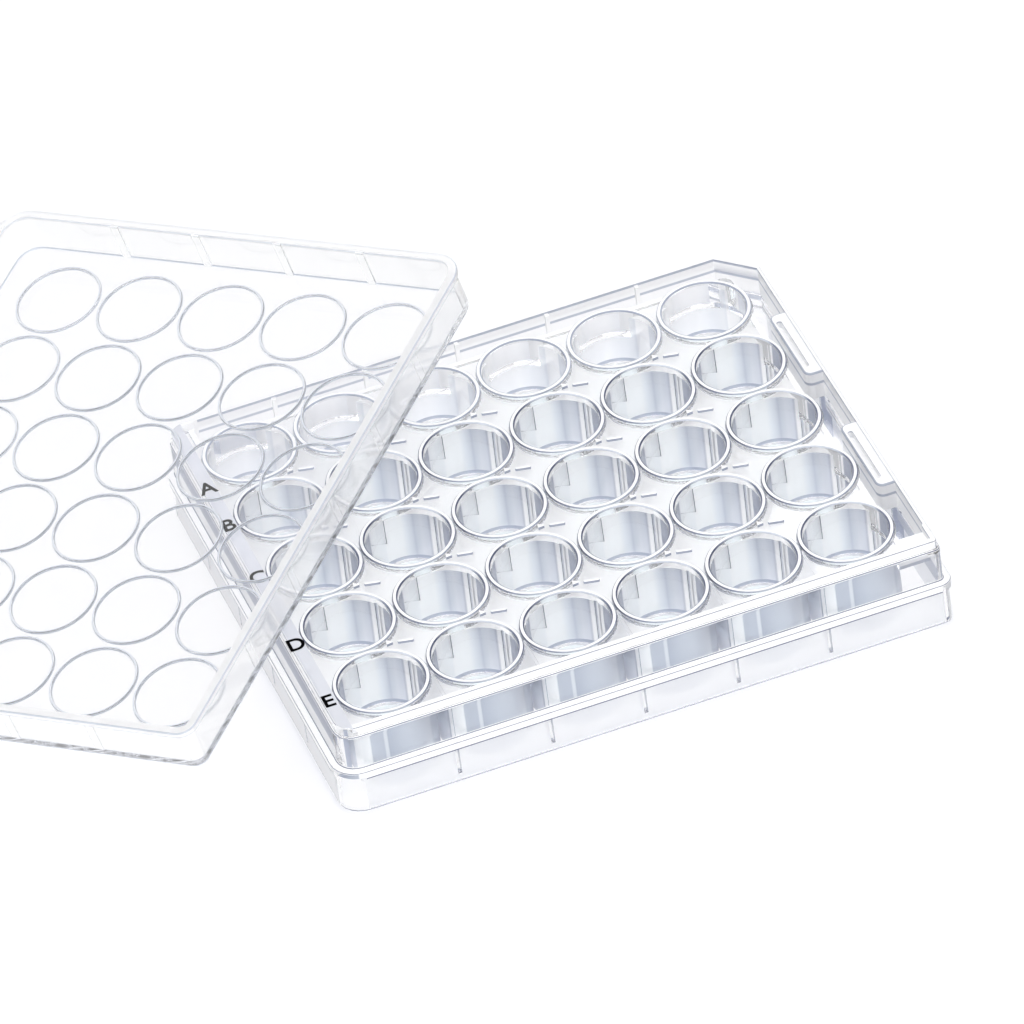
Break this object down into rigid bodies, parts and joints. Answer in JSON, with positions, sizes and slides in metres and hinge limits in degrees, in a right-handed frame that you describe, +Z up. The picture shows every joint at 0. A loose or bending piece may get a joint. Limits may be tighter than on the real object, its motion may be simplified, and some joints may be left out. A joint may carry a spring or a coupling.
{
  "type": "well plate",
  "caption": "Clear moulded multiwell culture plate with round wells, a stepped skirt and a keyed corner, its shallow lid taken off and leaned on it.",
  "frame": {"origin": "on the table under the middle of the box round the plate and its lid", "axes": "+X along the plate's rows of wells towards the channel and its pads, +Y from the front to the keyed corner at the back, +Z up"},
  "size_m": [0.2202, 0.174, 0.0444],
  "materials": {
    "clear_polystyrene": "clear polished polystyrene, as moulded"
  },
  "bodies": {
    "root": {"plate": "clear_polystyrene", "lid": "clear_polystyrene"}
  },
  "joints": []
}
